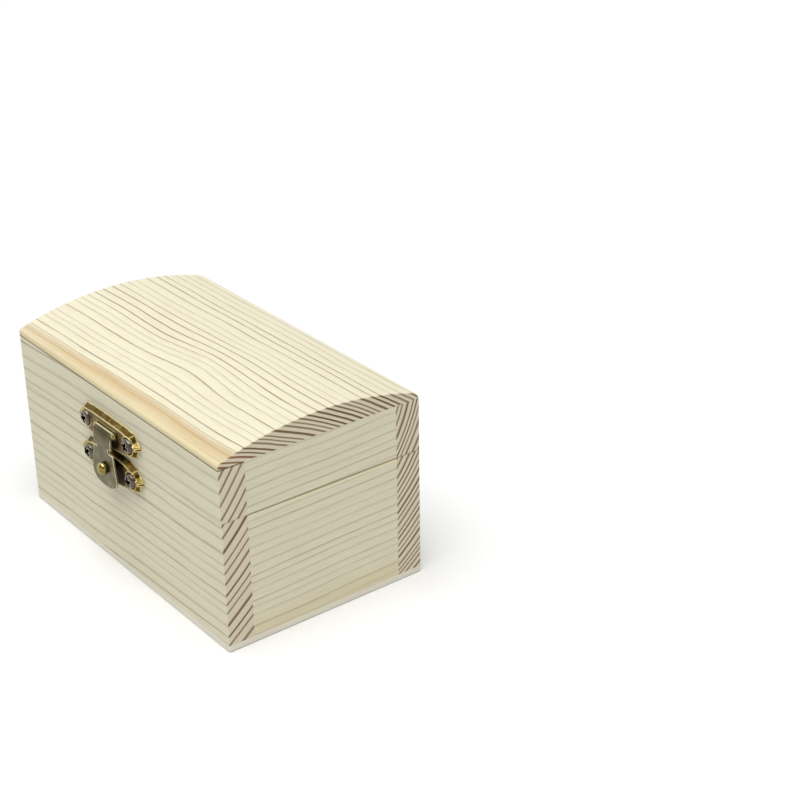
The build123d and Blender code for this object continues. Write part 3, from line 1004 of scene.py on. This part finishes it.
def raised_head_screw():
    head = [
        (0, RAISED_HEIGHT), (0.6, 1.23), (1.05, 1.17), (1.4, 1.06), (1.66, 0.9), (1.82, 0.68),
        (RAISED_RADIUS, 0.4), (RAISED_RADIUS, 0),
    ]
    shank = [(0.8, 0), (0.8, -0.5), (0.56, -0.8), (0.56, -4.4), (0, -5.6)]
    bm = spun(head + shank, steps=36)
    press_cross(bm, lowest=0.6, half_width=0.45, half_length=1.22, depth=0.75)
    cut_thread(bm, core=0.5, painted_top_highlight=0.79, start=-0.9, end=-4.5, pitch=0.75)
    return bm


def flat_head_screw():
    head = [(0, 0), (FLAT_RADIUS, 0), (0.6, -0.7)]
    shank = [(0.6, -0.9), (0.42, -1.1), (0.42, -4.0), (0, -5.0)]
    bm = spun(head + shank, steps=32)
    press_cross(bm, lowest=-0.1, half_width=0.2, half_length=0.8, depth=0.45)
    cut_thread(bm, core=0.38, painted_top_highlight=0.59, start=-1.2, end=-4.0, pitch=0.6)
    return bm


print("clasp screws have heads", 2 * RAISED_RADIUS, "mm across, hinge screws", 2 * FLAT_RADIUS)

# %% [markdown]
# The screws that are alike share one piece, as in the measured set. Each is made upright, turned by
# its own angle and tipped to face the front or the back, because nobody leaves two screws at the
# same angle. The places are read from the measured box of the set: its ends are the outer heads.

# %% Screws in their places
HINGE_SCREW_SPREAD = 9.6
TO_THE_FRONT, TO_THE_BACK = 90, -90


def drive_screws(node, body, make, places, facing, turns):
    """One piece with a screw at each place. facing tips the screws from upright, in degrees."""
    together = bmesh.new()
    for place, turn in zip(places, turns):
        bm = make()
        tipped = Matrix.Rotation(radians(facing), 4, "X") @ Matrix.Rotation(radians(turn), 4, "Z")
        bmesh.ops.transform(bm, verts=bm.verts, matrix=Matrix.Translation(place) @ tipped)
        single = bpy.data.meshes.new("screw")
        bm.to_mesh(single)
        bm.free()
        together.from_mesh(single)
        bpy.data.meshes.remove(single)
    make_piece(node, together, body, screw_finish)


for node, body, turns in (
    ("clasp_upper_plate_screws", "lid", (20, 68)),
    ("clasp_lower_plate_screws", "box_body", (38, 12)),
):
    low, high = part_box(node)
    height = (low.z + high.z) / 2
    ends = (low.x + RAISED_RADIUS * MM, high.x - RAISED_RADIUS * MM)
    places = [(x, low.y + RAISED_HEIGHT * MM, height) for x in ends]
    drive_screws(node, body, raised_head_screw, places, TO_THE_FRONT, turns)

for node, body, turns in (
    ("hinge_body_leaf_screws", "box_body", (10, 55, 32, 74)),
    ("hinge_lid_leaf_screws", "lid", (41, 5, 63, 24)),
):
    low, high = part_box(node)
    height = (low.z + high.z) / 2
    outer = high.x - FLAT_RADIUS * MM
    inner = outer - HINGE_SCREW_SPREAD * MM
    places = [(x, high.y, height) for x in (-outer, -inner, inner, outer)]
    drive_screws(node, body, flat_head_screw, places, TO_THE_BACK, turns)

# %% [markdown]
# The stage: a pale floor. It is a large plane a hair under the chest. Its colour is white to the
# camera and in what the metal mirrors, with the chest's own soft shadow on it, and a little darker
# for the light that bounces off it, so the walls keep a gentle shade under the bright lid. More
# light would make the floor white too, but it would bleach the pale wood.

# %% The floor
FLOOR_REACH = 6.0
FLOOR_GAP = 0.1 * MM
SEEN_WHITE, BOUNCED_GREY = (0.95, 0.95, 0.95), (0.73, 0.73, 0.73)


def looked_at(wiring):
    """1 for rays from the camera or by way of a mirror, 0 for light that bounces about."""
    kinds = ("Is Camera Ray", "Is Glossy Ray", "Is Transmission Ray")
    direct, glossy, through = (
        wiring.node("ShaderNodeLightPath", {}, {}, kind) for kind in kinds
    )
    return direct + glossy + through


bm = bmesh.new()
bmesh.ops.create_grid(bm, x_segments=1, y_segments=1, size=FLOOR_REACH)
bmesh.ops.translate(bm, verts=bm.verts, vec=(0, 0, -FLOOR_GAP))
floor_mesh = bpy.data.meshes.new("floor")
bm.to_mesh(floor_mesh)
bm.free()
floor = bpy.data.objects.new("floor", floor_mesh)
bpy.context.scene.collection.objects.link(floor)
paper = Finish("paper")
paper_shade = paper.blend(looked_at(paper), BOUNCED_GREY, SEEN_WHITE)
floor_mesh.materials.append(
    paper.surface(base_color=paper_shade, roughness=0.9, specular_ior_level=0.0)
)

# %% [markdown]
# The room. Its own light is weak. What the metal mirrors is another matter: bright paper low down,
# a dark ceiling, and one white card to the left, which the rims of the clasp catch. A mirror shows
# its surroundings and nothing else, so an antique clasp in an evenly white room looks like grey
# paint.

# %% The room
CARD_DIRECTION = Vector((-0.74, -0.3, 0.52)).normalized()
world = bpy.data.worlds.new("room")
bpy.context.scene.world = world
world.use_nodes = True
room = Wiring(world.node_tree)
heading = room.node("ShaderNodeTexCoord", {}, {}, "Generated")
low_light = 1 - room.split(heading)[2].ramp(0.1, 0.45) * 0.9
card = room.vector_math("DOT_PRODUCT", heading, CARD_DIRECTION, "Value").ramp(0.82, 0.93)
inputs = {"Color": (1.0, 1.0, 1.0, 1.0), "Strength": 0.2}
soft = room.node("ShaderNodeBackground", {}, inputs)
inputs = {"Color": low_light.or_more(card), "Strength": 1.0}
mirrored = room.node("ShaderNodeBackground", {}, inputs)
chosen = room.node("ShaderNodeMixShader", {}, {0: looked_at(room), 1: soft, 2: mirrored})
room.end_in("ShaderNodeOutputWorld", chosen)
print("the white card stands towards", [round(part, 2) for part in CARD_DIRECTION])

# %% [markdown]
# The window. One very wide, soft sun stands nearly overhead, a little to the front and the right.
# It lights the lid most and the walls less, and its shadow fades out without an edge. Several lamps
# would give the metal more sparkle, but also the floor several shadows.

# %% The window's light
TOWARDS_WINDOW = Vector((0.1, -0.14, 0.78))
window_data = bpy.data.lights.new("window_light", "SUN")
window_data.energy = 2.8
window_data.angle = radians(55)
window = bpy.data.objects.new("window_light", window_data)
window.rotation_euler = TOWARDS_WINDOW.to_track_quat("Z", "Y").to_euler()
bpy.context.scene.collection.objects.link(window)
bpy.context.scene.view_settings.view_transform = "Standard"
print("the window's light is", round(window_data.angle / pi * 180), "degrees wide")

# %% [markdown]
